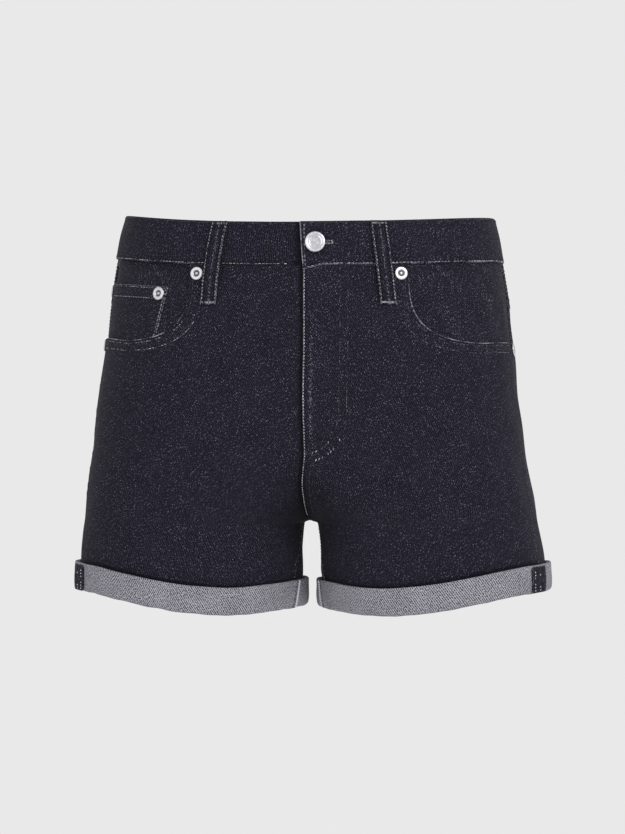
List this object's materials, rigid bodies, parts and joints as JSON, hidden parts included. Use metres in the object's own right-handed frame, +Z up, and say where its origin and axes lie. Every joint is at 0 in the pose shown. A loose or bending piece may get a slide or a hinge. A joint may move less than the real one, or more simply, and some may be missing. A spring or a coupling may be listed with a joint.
{
  "type": "denim shorts",
  "caption": "Five-pocket denim shorts with turned-up cuffs, a lapped fly and a metal waist button, hollow and filled out as if worn.",
  "frame": {"origin": "the middle of the waist opening, at the height of the waist's edge over the side seams", "axes": "+Z up to the waist, the front faces -Y, +X is the wearer's left"},
  "size_m": [0.4155, 0.2433, 0.3435],
  "materials": {
    "denim_face": "blue-black twill with pale flecks, edges worn pale",
    "denim_reverse": "grey reverse of the twill, salt-and-pepper",
    "pocket_cotton": "plain dark cotton",
    "zip_tape": "plain woven tape",
    "button_metal": "silver-white, plain"
  },
  "bodies": {
    "root": {"waistband": "denim_face", "front_left": "denim_face", "front_right": "denim_face", "back_left": "denim_face", "back_right": "denim_face", "yoke_left": "denim_face", "yoke_right": "denim_face", "pocket_facing_left": "denim_face", "pocket_facing_right": "denim_face", "coin_pocket": "denim_face", "back_pocket_left": "denim_face", "back_pocket_right": "denim_face", "fly_shield": "denim_face", "belt_loop_front_left": "denim_face", "belt_loop_front_right": "denim_face", "belt_loop_side_left": "denim_face", "belt_loop_side_right": "denim_face", "belt_loop_back": "denim_face", "cuff_strip_left": "denim_face", "cuff_strip_right": "denim_face", "cuff_left": "denim_reverse", "cuff_right": "denim_reverse", "pocket_bag_left": "pocket_cotton", "pocket_bag_right": "pocket_cotton", "fly_zip": "zip_tape", "waist_button": "button_metal", "rivet_pocket_left": "button_metal", "rivet_pocket_right": "button_metal", "rivet_side_left": "button_metal", "rivet_side_right": "button_metal", "rivet_coin_inner": "button_metal", "rivet_coin_outer": "button_metal"}
  },
  "joints": []
}
